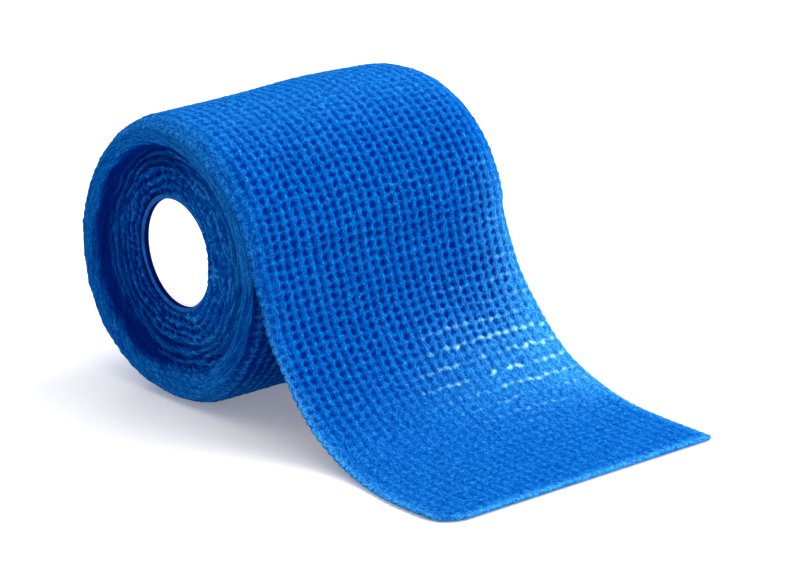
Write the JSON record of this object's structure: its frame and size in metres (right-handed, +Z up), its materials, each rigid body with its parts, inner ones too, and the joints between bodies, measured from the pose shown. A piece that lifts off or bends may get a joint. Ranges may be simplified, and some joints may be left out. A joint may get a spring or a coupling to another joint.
{
  "type": "casting tape roll",
  "caption": "Roll of blue knitted casting tape on a thin plastic core, its loose end laid out in front in an S.",
  "frame": {"origin": "middle of the small flat spot under the wound roll, on the surface that the roll rests on", "axes": "+X along the roll's axis from the near end to the far end, -Y the way the loose end runs, +Z up"},
  "size_m": [0.0789, 0.1321, 0.0664],
  "materials": {
    "knit_tape": "open warp knit in glass yarn, resin coated, ropy lengthwise ribs with small dark gaps and glossy glints",
    "core_plastic": "thin moulded tube, smooth blue lip, white inside"
  },
  "bodies": {
    "root": {"wound_roll": "knit_tape", "loose_end": "knit_tape", "core": "core_plastic"}
  },
  "joints": []
}
